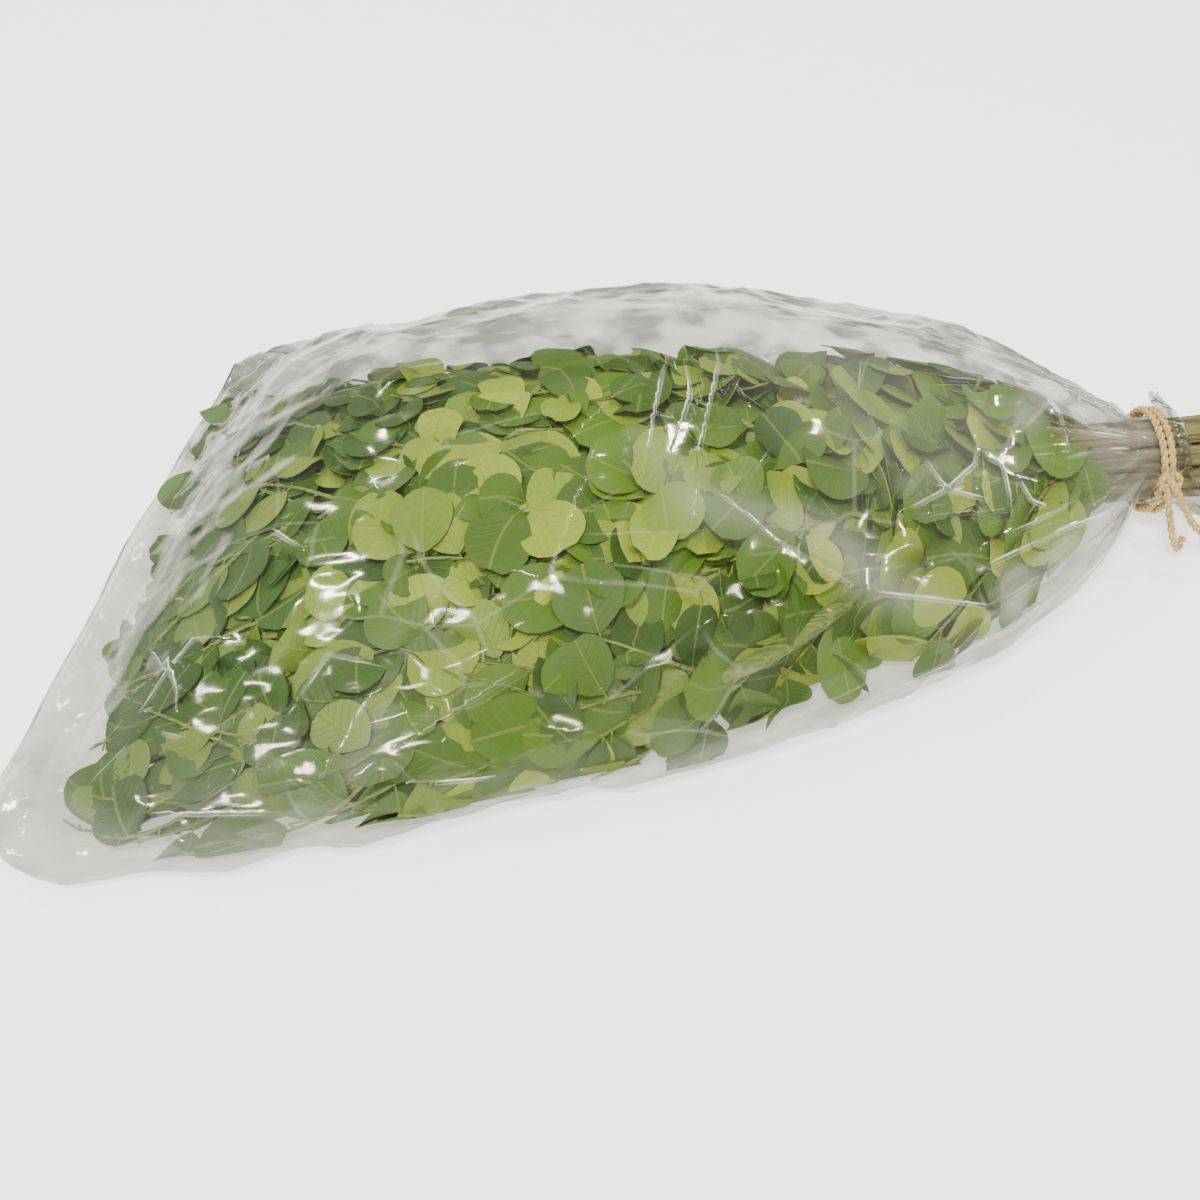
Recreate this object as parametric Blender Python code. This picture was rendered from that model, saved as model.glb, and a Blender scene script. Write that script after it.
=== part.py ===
"""A bunch of moringa leaves lying on its side in a clear film bag, tied round the neck with jute twine.

The bag is a flat tube of film, sealed at the leafy end and gathered round the stems at the other.
Nine leafy stems run through the gathered neck and fan out inside the bag: five over the top, three
under those and one along the bottom. Each stem carries side twigs, and each twig carries rounded
leaflets in pairs with one at its end.

Metres. +X runs along the bunch towards the cut stem ends, +Z is up. The origin is on the flat
underside of the bag, on the surface that the bunch lies on.
"""

import math
import random

import bmesh
import bpy
from mathutils import Vector
from mathutils.bvhtree import BVHTree

MM = 0.001
WELD = 0.00001

# Bag: each row is x, half width, sideways shift of the middle, height of the side fold, top and
# bottom of the film, all in millimetres. A bottom below 0 is flattened on the surface it lies on.
BAG_ROWS = (
    (-132, 82.0, 8.0, 1.1, 2.2, 0.0),
    (-122, 89.5, 1.5, 1.4, 6.0, 0.0),
    (-110, 92.0, -2.0, 3.5, 20.0, -2.0),
    (-90, 91.0, -5.5, 6.0, 36.0, -3.0),
    (-60, 87.0, -5.5, 7.5, 48.0, -3.0),
    (-20, 84.5, -2.0, 8.5, 54.0, -3.0),
    (20, 81.5, 2.0, 9.5, 55.0, -3.0),
    (60, 71.0, 2.2, 11.0, 52.0, -3.0),
    (90, 59.0, 1.5, 13.0, 47.5, -2.0),
    (110, 47.0, 1.0, 14.5, 43.0, 0.5),
    (128, 32.3, 0.6, 16.5, 36.5, 3.0),
    (140, 19.0, 0.0, 17.8, 32.0, 5.0),
    (147, 12.4, 0.0, 18.0, 30.4, 5.6),
    (157, 12.4, 0.0, 18.0, 30.4, 5.6),
    (163, 15.5, 0.0, 18.0, 33.0, 3.2),
    (170, 17.5, 0.0, 17.5, 34.0, 1.5),
)
HALF_WIDTH, SHIFT, FOLD, TOP, BOTTOM = 1, 2, 3, 4, 5
BAG_STATIONS = (-132, -127, -122, -116, -110, -100, -90, -70, -45, -15, 15, 40, 60, 75, 90, 100, 110,
                119, 128, 134, 140, 147, 157, 163, 170)
CAVITY_START = -122
FILM = 0.8
SIDE_FOLD = 1.8
BAG_SIDES = 28
SEAM_SKEW = 26.0
SKEW_ENDS = -35.0
NECK_START = 100.0
NECK_ROUND = 145.0
PLEAT_DEPTH = 1.1
MOUTH_LAG = 5.0

# Foliage: the dome that it fills inside the bag, as a share of the bag's width and gaps to the film.
DOME_SHARE = 0.87
DOME_SIDE_GAP = 1.5
DOME_TOP_GAP = 1.4
DOME_FLOOR_GAP = 1.2
OUTERMOST = 0.985
WIDEST = math.radians(104)
LEAF_END = -116.0
LEAF_START = 122.0

# Stems: they pass the neck in a ring round one in the middle, and their cut ends splay a little.
STEM_HEIGHT = 18.0
STEM_RADIUS = 2.85
INNER_STEM_RADIUS = 3.3
STEM_TIP_SHARE = 0.42
STEM_BUTT_SHARE = 1.12
RING_RADIUS = 8.35
GATHER_START = 15.0
GATHER_END = 138.0
CUT_END = 214.0
SPLAY = 0.55
STEM_STEP = 18.0

# Twigs and leaflets.
TWIG_RADIUS = 0.8
TWIG_TAPER = (1.25, 1.0, 0.8)
LEAF_LENGTH = 21.0
LEAF_WIDTH = 17.4
LEAF_THICKNESS = 0.8
LEAF_GAP = 0.45
LEAF_SIDES = 6
CUPPING = 4.5
TRIES = 9

# Tie: two turns of jute twine with a knot on the near side and two loose ends.
TIE_X = 149.6
TIE_TURN_GAP = 3.4
TWINE = 2.1
TIE_RADIUS = 13.85
TIE_SIDES = 24
KNOT_ANGLE = math.radians(160)
KNOT_SIZE = (2.3, 1.6, 0.5)
LOOSE_ENDS = ((12.0, 3.0, 13.0), (17.0, 1.5, 7.0))

FILM_COLOUR = (0.93, 0.95, 0.93, 1.0)
LEAF_COLOUR = (0.13, 0.27, 0.05, 1.0)
TWINE_COLOUR = (0.62, 0.45, 0.27, 1.0)


def clear_scene():
    for obj in list(bpy.data.objects):
        bpy.data.objects.remove(obj)


def material(name, colour, roughness, alpha=1.0):
    made = bpy.data.materials.new(name)
    made.use_nodes = True
    shader = made.node_tree.nodes["Principled BSDF"]
    shader.inputs["Base Color"].default_value = colour
    shader.inputs["Roughness"].default_value = roughness
    shader.inputs["Metallic"].default_value = 0.0
    shader.inputs["Alpha"].default_value = alpha
    return made


def linked(name, mesh, collection):
    made = bpy.data.objects.new(name, mesh)
    collection.objects.link(made)
    return made


def smooth_step(low, high, value):
    t = min(1.0, max(0.0, (value - low) / (high - low)))
    return t * t * (3 - 2 * t)


def mix(a, b, share):
    return a + (b - a) * share


def bag_row(x, column):
    """One measure of the bag at x, on a smooth curve through the rows."""
    rows = BAG_ROWS
    if x <= rows[0][0]:
        return rows[0][column]
    if x >= rows[-1][0]:
        return rows[-1][column]
    i = max(k for k in range(len(rows) - 1) if rows[k][0] <= x)

    def slope(k):
        a, b = max(k - 1, 0), min(k + 1, len(rows) - 1)
        return (rows[b][column] - rows[a][column]) / (rows[b][0] - rows[a][0])

    wide = rows[i + 1][0] - rows[i][0]
    t = (x - rows[i][0]) / wide
    start, end = rows[i][column], rows[i + 1][column]
    made = (
        (2 * t**3 - 3 * t**2 + 1) * start
        + (t**3 - 2 * t**2 + t) * wide * slope(i)
        + (3 * t**2 - 2 * t**3) * end
        + (t**3 - t**2) * wide * slope(i + 1)
    )
    return min(max(made, min(start, end)), max(start, end))


def skew(x):
    """How far the bag's far edge runs ahead of its middle: the sealed end lies at a slant."""
    return SEAM_SKEW * (1 - smooth_step(BAG_ROWS[0][0], SKEW_ENDS, x))


def bag_point(x, angle, inside):
    """A point of the film; inside is the film's thickness in mm for its inner face, or 0."""
    round_share = smooth_step(NECK_START, NECK_ROUND, x)
    across, up = math.cos(angle), math.sin(angle)
    half = bag_row(x, HALF_WIDTH) - (inside / FILM) * mix(SIDE_FOLD, FILM, round_share)
    fold = bag_row(x, FOLD)
    if up >= 0:
        bulge = 1 - abs(across) ** mix(2.3, 2.0, round_share)
        z = fold + (bag_row(x, TOP) - inside - fold) * bulge ** (1 / mix(1.7, 2.0, round_share))
    else:
        bulge = 1 - abs(across) ** mix(4.0, 2.0, round_share)
        z = max(fold - (fold - bag_row(x, BOTTOM) - inside) * bulge**0.5, inside)
    y = bag_row(x, SHIFT) + half * across
    tied = min(abs(x - 147), abs(x - 152), abs(x - 157))
    pleat = PLEAT_DEPTH * smooth_step(105, 132, x) * smooth_step(0, 6, tied)
    side = 1 if round(angle / (2 * math.pi) * BAG_SIDES) % 2 else -1
    y += pleat * side * across
    z = max(z + pleat * side * up, inside)
    lag = -MOUTH_LAG * smooth_step(157, 170, x) * up
    return Vector((x + skew(x) * across + lag, y, z)) * MM


def make_bag():
    """One skin swept along the outside of the film to the mouth and back down its inside."""
    outside = [(x, 0.0) for x in BAG_STATIONS]
    inner = [(x, FILM) for x in reversed(BAG_STATIONS) if x >= CAVITY_START]
    sweep = outside + inner
    bm = bmesh.new()
    angle_of = bm.verts.layers.float.new("angle")
    ring = bmesh.ops.create_circle(bm, segments=BAG_SIDES, radius=1)["verts"]
    for k, vert in enumerate(ring):
        vert[angle_of] = 2 * math.pi * k / BAG_SIDES
    edges = list(bm.edges)
    first = list(edges)
    for k, (x, inside) in enumerate(sweep):
        for vert in ring:
            vert.co = bag_point(x, vert[angle_of], inside)
        if k < len(sweep) - 1:
            made = bmesh.ops.extrude_edge_only(bm, edges=edges)["geom"]
            ring = [g for g in made if isinstance(g, bmesh.types.BMVert)]
            edges = [
                g for g in made
                if isinstance(g, bmesh.types.BMEdge) and g.verts[0] in ring and g.verts[1] in ring
            ]
    bmesh.ops.holes_fill(bm, edges=first, sides=0)
    bmesh.ops.holes_fill(bm, edges=edges, sides=0)
    bmesh.ops.triangulate(bm, faces=bm.faces, quad_method="FIXED")
    bmesh.ops.recalc_face_normals(bm, faces=bm.faces)
    mesh = bpy.data.meshes.new("film_bag")
    bm.to_mesh(mesh)
    bm.free()
    mesh.shade_smooth()
    mesh.set_sharp_from_angle(angle=math.radians(40))
    mesh.materials.append(material("clear_film", FILM_COLOUR, 0.12, 0.25))
    linked("film_bag", mesh, bpy.context.scene.collection)
    return mesh


def dome(x):
    """The foliage inside the bag at x: its half width, middle, lowest level and height, in mm."""
    half = bag_row(x, HALF_WIDTH) * DOME_SHARE - DOME_SIDE_GAP
    low = max(bag_row(x, BOTTOM), 0.0) + FILM + DOME_FLOOR_GAP
    high = bag_row(x, TOP) - FILM - DOME_TOP_GAP
    return half, bag_row(x, SHIFT) - 2.5 * smooth_step(80, 20, x), low, high - low


def foliage_point(spot):
    """The point in millimetres at a spot of the dome: x, angle round it, share of the way out."""
    x, angle, out = spot
    half, middle, low, high = dome(x)
    across = math.cos(angle)
    return Vector((
        x + skew(x) * out * across * DOME_SHARE,
        middle + out * half * across,
        low + out * high * math.sin(angle),
    ))


def dome_spot(point):
    """The spot of the dome at which a point lies."""
    x = point.x
    for _ in range(6):
        half, middle, low, high = dome(x)
        across, up = (point.y - middle) / half, (point.z - low) / high
        x = point.x - skew(x) * across * DOME_SHARE
    return x, math.atan2(up, across), math.hypot(across, up)


def moved(spot, shift):
    """The spot that lies shift = (towards the tip, round the dome, outwards) mm from another."""
    x, angle, out = spot
    half, _, _, high = dome(x)
    c, s = math.cos(angle), math.sin(angle)
    arc = max(out, 0.25) * math.sqrt((half * s) ** 2 + (high * c) ** 2)
    deep = half * high / math.sqrt((high * c) ** 2 + (half * s) ** 2)
    return x - shift[0], angle + shift[1] / arc, out + shift[2] / deep


def pressed(spot):
    """The point of a spot, kept inside the bag as the film presses it."""
    x, angle, out = spot
    point = foliage_point((x, angle, min(out, OUTERMOST)))
    point.z = max(point.z, dome(x)[2])
    return point


def stems():
    """Where each leafy stem runs in the dome and where it passes through the neck."""
    made = []

    def add(angle, out, slot, shorter, cut, twig_step, leaf_count, rise):
        turn = math.radians(slot or 0)
        ring = RING_RADIUS if slot is not None else 0
        made.append({
            "angle": math.radians(angle),
            "out": out,
            "neck": (ring * math.cos(turn), ring * math.sin(turn)),
            "radius": STEM_RADIUS if ring else INNER_STEM_RADIUS,
            "tip": LEAF_END + shorter,
            "end": CUT_END + cut,
            "twig_step": twig_step,
            "leaf_count": leaf_count,
            "rise": rise,
        })

    top = ((25, 6, 0), (58, 0, -9), (90, 4, 5), (122, 1, -3), (155, 8, 2))
    for k, (angle, shorter, cut) in enumerate(top):
        add(angle, 0.8, 45 * k, shorter, cut, 13.5, 5, 1.0)
    add(24, 0.42, -45, 10, 3, 23.0, 4, 0.3)
    add(90, 0.5, None, 4, -14, 23.0, 4, 0.3)
    add(156, 0.42, -135, 12, -6, 23.0, 4, 0.3)
    add(90, 0.13, -90, 14, -10, 25.0, 4, 0.0)
    return made


def stem_line(stem):
    """The stem's middle line in millimetres, from its tip to its cut end."""
    across, up = stem["neck"]
    line = []
    x = stem["tip"]
    while x < stem["end"] - 5:
        spread = 1 + SPLAY * smooth_step(160, 230, x)
        gathered = Vector((x, across * spread, STEM_HEIGHT + up * spread))
        in_bag = foliage_point((min(x, GATHER_END), stem["angle"], stem["out"]))
        in_bag.x = mix(in_bag.x, x, smooth_step(-90, 20, x))
        line.append(in_bag.lerp(gathered, smooth_step(GATHER_START, GATHER_END, x)))
        x += STEM_STEP
    line.append(Vector((stem["end"], gathered.y * 1.01, gathered.z)))
    return line


def stem_radii(stem, line, extra):
    """The stem's radius at each point of its line: thin at the tip, thickest where it was cut."""
    made = []
    for point in line:
        grown = mix(STEM_TIP_SHARE, 1.0, smooth_step(-130, 120, point.x))
        grown *= mix(1.0, STEM_BUTT_SHARE, smooth_step(160, 215, point.x))
        made.append(stem["radius"] * grown + extra)
    return made


def tube(name, line, radii, resolution):
    """A closed tube along a line of points in millimetres, as a mesh."""
    curve = bpy.data.curves.new(name, "CURVE")
    curve.dimensions = "3D"
    curve.bevel_depth = MM
    curve.bevel_resolution = resolution
    curve.use_fill_caps = True
    spline = curve.splines.new("POLY")
    spline.points.add(len(line) - 1)
    for point, place, radius in zip(spline.points, line, radii):
        point.co = (*(place * MM), 1)
        point.radius = radius
    guide = bpy.data.objects.new(name + "_guide", curve)
    mesh = bpy.data.meshes.new_from_object(guide)
    bpy.data.objects.remove(guide)
    bm = bmesh.new()
    bm.from_mesh(mesh)
    bmesh.ops.remove_doubles(bm, verts=bm.verts, dist=WELD)
    bmesh.ops.triangulate(bm, faces=bm.faces, quad_method="FIXED")
    bmesh.ops.recalc_face_normals(bm, faces=bm.faces)
    bm.to_mesh(mesh)
    bm.free()
    return mesh


def leaf_points(root, heading, tilt, roll, scale):
    """The rim of a rounded leaflet that grows from a spot, bent by the film that it meets."""
    points = []
    for k in range(LEAF_SIDES):
        turn = 2 * math.pi * k / LEAF_SIDES
        along = 0.5 - 0.5 * math.cos(turn)
        across = 0.5 * math.sin(turn) * (0.84 + 0.32 * along)
        a, b = along * LEAF_LENGTH * scale, across * LEAF_WIDTH * scale
        forward = a * math.cos(heading) - b * math.sin(heading)
        sideways = a * math.sin(heading) + b * math.cos(heading)
        rise = a * math.sin(tilt) + b * math.sin(roll) + CUPPING * abs(across)
        spot = moved(root, (forward * math.cos(tilt), sideways, rise))
        if not LEAF_END < spot[0] < LEAF_START or abs(spot[1] - math.pi / 2) > WIDEST:
            return None
        points.append(pressed(spot))
    return points


def leaf_mesh(name, points, thickness):
    """A thin blade folded along its midrib."""
    bm = bmesh.new()
    rim = bmesh.ops.create_circle(bm, cap_ends=True, segments=LEAF_SIDES, radius=1)["verts"]
    rim.sort(key=lambda v: math.atan2(v.co.y, v.co.x) % (2 * math.pi))
    for vert, place in zip(rim, points):
        vert.co = place * MM
    bmesh.ops.connect_verts(bm, verts=[rim[0], rim[LEAF_SIDES // 2]])
    bmesh.ops.triangulate(bm, faces=bm.faces, quad_method="SHORT_EDGE")
    bmesh.ops.recalc_face_normals(bm, faces=bm.faces)
    bm.normal_update()
    half = thickness * MM / 2
    lifts = [(v.co.copy(), v.normal.copy()) for v in bm.verts]
    made = bmesh.ops.extrude_face_region(bm, geom=list(bm.faces), use_keep_orig=True)["geom"]
    top = {g for g in made if isinstance(g, bmesh.types.BMVert)}
    for vert in bm.verts:
        place, normal = min(lifts, key=lambda lift: (lift[0] - vert.co).length_squared)
        vert.co = place + normal * (half if vert in top else -half)
    bmesh.ops.triangulate(bm, faces=bm.faces, quad_method="FIXED")
    bmesh.ops.recalc_face_normals(bm, faces=bm.faces)
    mesh = bpy.data.meshes.new(name)
    bm.to_mesh(mesh)
    bm.free()
    return mesh


def tree_of(mesh):
    places = [v.co.copy() for v in mesh.vertices]
    return BVHTree.FromPolygons(places, [tuple(p.vertices) for p in mesh.polygons])


def crosses(mesh, trees):
    tree = tree_of(mesh)
    return any(tree.overlap(other) for other in trees)


def grow_leaf(name, root, heading, rng, own, others):
    """A leaflet turned, tilted or made smaller until it is clear of what already grew, or None."""
    full = rng.uniform(0.88, 1.14)
    tilt = math.radians(rng.uniform(-14, 22))
    roll = math.radians(rng.uniform(-20, 20))
    for attempt in range(TRIES):
        ease = attempt / TRIES
        turn = heading + math.radians(rng.uniform(-30, 30)) * ease
        lean = tilt + math.radians(rng.uniform(-45, 45)) * ease
        points = leaf_points(root, turn, lean, roll, full * (1 - 0.25 * ease))
        if not points:
            continue
        clear = [points[0].lerp(points[LEAF_SIDES // 2], 0.2), *points[1:]]
        margin = LEAF_THICKNESS + 2 * LEAF_GAP
        if crosses(leaf_mesh("trial", clear, margin), own):
            continue
        if crosses(leaf_mesh("trial", points, margin), others):
            continue
        return leaf_mesh(name, points, LEAF_THICKNESS)
    return None


def grow_twig(name, root, heading, stem, rng, own, others):
    """A side twig with its leaflets as meshes, or nothing where there is no room for it."""
    reach = rng.uniform(14, 22)
    lift = rng.uniform(1, 6) * stem["rise"]
    start, inner, middle, outer, end = (
        moved(root, (reach * t * math.cos(heading), reach * t * math.sin(heading), lift * t))
        for t in (0.0, 0.42, 0.5, 0.8, 1.0)
    )
    line = [pressed(start), pressed(middle), pressed(end)]
    trial = tube("trial", line, [TWIG_RADIUS + LEAF_GAP] * 3, 0)
    if crosses(trial, others) or crosses(trial, own[1:]):
        return []
    grown = []
    places = ((end, 0), (inner, 54), (inner, -54), (outer, 58), (outer, -58))
    for k, (spot, turn) in enumerate(places[:stem["leaf_count"]]):
        grow = heading * 0.75 + math.radians(turn)
        leaf = grow_leaf(f"{name}_leaf_{k}", spot, grow, rng, own, others)
        if leaf:
            own.append(tree_of(leaf))
            grown.append(leaf)
    if grown:
        grown.append(tube(name, line, [TWIG_RADIUS * share for share in TWIG_TAPER], 0))
        own.append(tree_of(grown[-1]))
    return grown


def make_leafy_stem(number, stem, others, leaf_material):
    """One stem with its twigs and leaflets; others holds the trees of all that it must clear."""
    rng = random.Random(40 + number)
    name = f"leafy_stem_{number:02d}"
    pieces = bpy.data.collections.new(name + "_pieces")
    bpy.context.scene.collection.children.link(pieces)
    line = stem_line(stem)
    mesh = tube(name, line, stem_radii(stem, line, 0), 1)
    body = linked(name, mesh, bpy.context.scene.collection)
    own = [tree_of(mesh)]
    side = 1 if number % 2 else -1
    leafy = [p for p in line if p.x < LEAF_START - 12]
    at = rng.uniform(0, 0.4)
    while at < len(leafy) - 1.3:
        k = len(leafy) - 2 - int(at)
        root = dome_spot(leafy[k + 1].lerp(leafy[k], at - int(at)))
        heading = side * math.radians(rng.uniform(34, 52))
        for grown in grow_twig(f"{name}_twig_{k}", root, heading, stem, rng, own, others):
            linked(grown.name, grown, pieces)
        side = -side
        at += rng.uniform(0.8, 1.2) * stem["twig_step"] / STEM_STEP
    tip = moved(dome_spot(line[0]), (-3, 0, 0))
    leaf = grow_leaf(name + "_end_leaf", tip, 0.1, rng, own[1:], others)
    if leaf:
        linked(leaf.name, leaf, pieces)
    fuse(body, pieces)
    body.data.materials.clear()
    body.data.materials.append(leaf_material)
    return tree_of(body.data)


def fuse(body, pieces):
    """Joins a collection of solids to the body and leaves the body as the one that is kept."""
    join = body.modifiers.new("join", "BOOLEAN")
    join.operation = "UNION"
    join.operand_type = "COLLECTION"
    join.collection = pieces
    join.solver = "MANIFOLD"
    bpy.context.view_layer.update()
    fused = bpy.data.meshes.new_from_object(body.evaluated_get(bpy.context.evaluated_depsgraph_get()))
    body.modifiers.clear()
    body.data = fused
    for obj in list(pieces.objects):
        bpy.data.objects.remove(obj)
    bpy.data.collections.remove(pieces)
    keep_largest(body.data)


def keep_largest(mesh):
    """Drops loose scraps and the walls of any hollow that the fusing sealed."""
    bm = bmesh.new()
    bm.from_mesh(mesh)
    left = set(bm.verts)
    groups = []
    while left:
        todo = [left.pop()]
        group = set(todo)
        while todo:
            for edge in todo.pop().link_edges:
                for vert in edge.verts:
                    if vert in left:
                        left.discard(vert)
                        group.add(vert)
                        todo.append(vert)
        groups.append(group)
    groups.sort(key=len, reverse=True)
    for group in groups[1:]:
        bmesh.ops.delete(bm, geom=list(group), context="VERTS")
    flat = math.radians(0.2)
    bmesh.ops.dissolve_limit(bm, angle_limit=flat, verts=bm.verts, edges=bm.edges, delimit=set())
    bmesh.ops.triangulate(bm, faces=bm.faces)
    bm.to_mesh(mesh)
    bm.free()


def tie_turn(k):
    """One closed turn of twine round the neck."""
    bm = bmesh.new()
    start = bmesh.ops.create_circle(bm, segments=6, radius=TWINE / 2 * MM)["verts"]
    centre = Vector((TIE_X + k * TIE_TURN_GAP, TIE_RADIUS, 0)) * MM
    bmesh.ops.translate(bm, verts=start, vec=centre)
    bmesh.ops.spin(
        bm, geom=list(bm.edges), cent=(0, 0, 0), axis=(1, 0, 0), angle=2 * math.pi,
        steps=TIE_SIDES, use_merge=True,
    )
    bmesh.ops.remove_doubles(bm, verts=bm.verts, dist=WELD)
    bmesh.ops.translate(bm, verts=bm.verts, vec=(0, 0, STEM_HEIGHT * MM))
    bmesh.ops.recalc_face_normals(bm, faces=bm.faces)
    mesh = bpy.data.meshes.new(f"tie_turn_{k}")
    bm.to_mesh(mesh)
    bm.free()
    return mesh


def make_tie():
    """Two turns of twine, a knot and two loose ends, joined in one solid."""
    pieces = bpy.data.collections.new("tie_pieces")
    bpy.context.scene.collection.children.link(pieces)
    tie = linked("twine_tie", tie_turn(0), bpy.context.scene.collection)
    linked("tie_turn", tie_turn(1), pieces)
    outwards = Vector((0, math.cos(KNOT_ANGLE), math.sin(KNOT_ANGLE)))
    around = Vector((0, -math.sin(KNOT_ANGLE), math.cos(KNOT_ANGLE)))
    along = Vector((1, 0, 0))
    knot = Vector((TIE_X + TIE_TURN_GAP / 2, 0, STEM_HEIGHT)) + outwards * (TIE_RADIUS + 0.9)
    loop = []
    for k in range(7):
        turn = 2 * math.pi * k / 6
        loop.append(knot + along * KNOT_SIZE[0] * math.cos(turn)
                    + around * KNOT_SIZE[1] * math.sin(turn)
                    + outwards * KNOT_SIZE[2] * math.cos(2 * turn))
    linked("tie_knot", tube("tie_knot", loop, [TWINE * 0.575] * len(loop), 1), pieces)
    for k, (sway, drop, length) in enumerate(LOOSE_ENDS):
        line = []
        for step in range(7):
            t = step / 6
            line.append(knot + along * (1 - 2.1 * k + length * t) + around * sway * math.sin(2.2 * t)
                        + outwards * (0.6 + 2.2 * math.sin(math.pi * t)) + Vector((0, -drop * t, -3 * t)))
            line[-1].z = max(line[-1].z, TWINE * 0.52)
        radii = [TWINE / 2 * mix(1.0, 0.8, step / 6) for step in range(7)]
        linked(f"tie_end_{k}", tube(f"tie_end_{k}", line, radii, 1), pieces)
    fuse(tie, pieces)
    tie.data.materials.clear()
    tie.data.materials.append(material("jute", TWINE_COLOUR, 0.9))


def main():
    clear_scene()
    film = tree_of(make_bag())
    leaf_material = material("moringa_leaf", LEAF_COLOUR, 0.55)
    made = stems()
    trees = []
    for stem in made:
        line = stem_line(stem)
        trees.append(tree_of(tube("trial", line, stem_radii(stem, line, LEAF_GAP), 1)))
    for number, stem in enumerate(made):
        others = [film, *trees[:number], *trees[number + 1:]]
        trees[number] = make_leafy_stem(number + 1, stem, others, leaf_material)
    for mesh in [m for m in bpy.data.meshes if m.users == 0]:
        bpy.data.meshes.remove(mesh)
    make_tie()


main()
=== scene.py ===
"""A bunch of moringa leaves in a clear film bag, tied at the neck with jute twine, lying on a table."""

import math
import random

import bmesh
import bpy
import numpy as np
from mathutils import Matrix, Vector, noise


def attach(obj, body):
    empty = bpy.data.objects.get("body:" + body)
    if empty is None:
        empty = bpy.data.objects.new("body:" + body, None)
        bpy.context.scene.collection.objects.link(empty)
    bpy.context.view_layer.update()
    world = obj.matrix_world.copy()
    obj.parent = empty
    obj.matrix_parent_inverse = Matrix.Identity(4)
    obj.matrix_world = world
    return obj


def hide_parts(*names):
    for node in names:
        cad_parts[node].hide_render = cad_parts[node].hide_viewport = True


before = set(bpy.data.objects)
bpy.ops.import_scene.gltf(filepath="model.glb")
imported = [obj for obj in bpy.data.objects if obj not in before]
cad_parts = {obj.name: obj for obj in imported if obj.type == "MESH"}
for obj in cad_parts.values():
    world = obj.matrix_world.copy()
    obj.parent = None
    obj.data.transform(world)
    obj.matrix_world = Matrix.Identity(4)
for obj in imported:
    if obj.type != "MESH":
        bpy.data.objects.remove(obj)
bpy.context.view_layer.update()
MM = 0.001

# The view: the bunch lies on a pale table and is seen from above its near side, the tied neck to
# the right and a little further off. One warm lamp hangs over its near side and six small ones
# stand round it, and their reflections are white glints in the film, beside highlights painted
# along its creases.
AIM = Vector((-3.0, -19.3, 0.0)) * MM
DISTANCE = 0.405
LOOK_DOWN = math.radians(48.0)
LOOK_ROUND = math.radians(6.32)
LAMP_TINT = (1.0, 0.96, 0.88)
RING_DISTANCE = 1.3
# The lamps round the bunch: degrees round it from the stems' side, degrees up, and watts.
RING_LAMPS = ((20, 40, 5.0), (72, 58, 5.5), (118, 38, 5.0), (160, 56, 5.0), (250, 42, 5.0), (320, 58, 5.5))
SKY_STRENGTH = 0.2
TABLE_HALF_SIDE = 12.0
TABLE_GLOW = 1.2
back = Vector((
    -math.sin(LOOK_ROUND) * math.cos(LOOK_DOWN),
    -math.cos(LOOK_ROUND) * math.cos(LOOK_DOWN),
    math.sin(LOOK_DOWN),
))
lens = bpy.data.cameras.new("camera")
lens.lens = 45.0
lens.sensor_width = 36.0
lens.clip_start = 0.01
camera = bpy.data.objects.new("camera", lens)
camera.location = AIM + back * DISTANCE
camera.rotation_euler = (-back).to_track_quat("-Z", "Y").to_euler()
bpy.context.scene.collection.objects.link(camera)
bpy.context.scene.camera = camera


def soft_lamp(name, place, size, watts):
    """A rectangular lamp that points at the middle of the bunch."""
    lamp = bpy.data.lights.new(name, "AREA")
    lamp.shape = "RECTANGLE"
    lamp.size, lamp.size_y = size
    lamp.energy = watts
    lamp.color = LAMP_TINT
    made = bpy.data.objects.new(name, lamp)
    made.location = place
    made.rotation_euler = (-Vector(place)).to_track_quat("-Z", "Y").to_euler()
    bpy.context.scene.collection.objects.link(made)


soft_lamp("lamp_over", (-0.25, -0.55, 1.2), (0.22, 0.22), 21.0)
for k, (turn, high, watts) in enumerate(RING_LAMPS):
    turn, high = math.radians(turn), math.radians(high)
    place = Vector((math.cos(high) * math.cos(turn), math.cos(high) * math.sin(turn), math.sin(high)))
    soft_lamp(f"lamp_round_{k}", place * RING_DISTANCE, (0.05, 0.12), watts)

world = bpy.data.worlds.new("studio")
world.use_nodes = True
sky = world.node_tree.nodes["Background"]
sky.inputs["Color"].default_value = (1.0, 1.0, 1.0, 1.0)
sky.inputs["Strength"].default_value = SKY_STRENGTH
bpy.context.scene.world = world


class Wire:
    """A shader socket that sums can be written with."""

    def __init__(self, finish, socket):
        self.finish = finish
        self.socket = socket

    def sum(self, operation, first, second):
        sockets = {0: first, 1: second}
        return self.finish.node("ShaderNodeMath", {"operation": operation}, sockets)

    def __add__(self, other):
        return self.sum("ADD", self, other)

    def __radd__(self, other):
        return self.sum("ADD", other, self)

    def __sub__(self, other):
        return self.sum("SUBTRACT", self, other)

    def __rsub__(self, other):
        return self.sum("SUBTRACT", other, self)

    def __mul__(self, other):
        return self.sum("MULTIPLY", self, other)

    def __rmul__(self, other):
        return self.sum("MULTIPLY", other, self)

    def __truediv__(self, other):
        return self.sum("DIVIDE", self, other)

    def __rtruediv__(self, other):
        return self.sum("DIVIDE", other, self)

    def __pow__(self, other):
        return self.sum("POWER", self, other)


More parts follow.
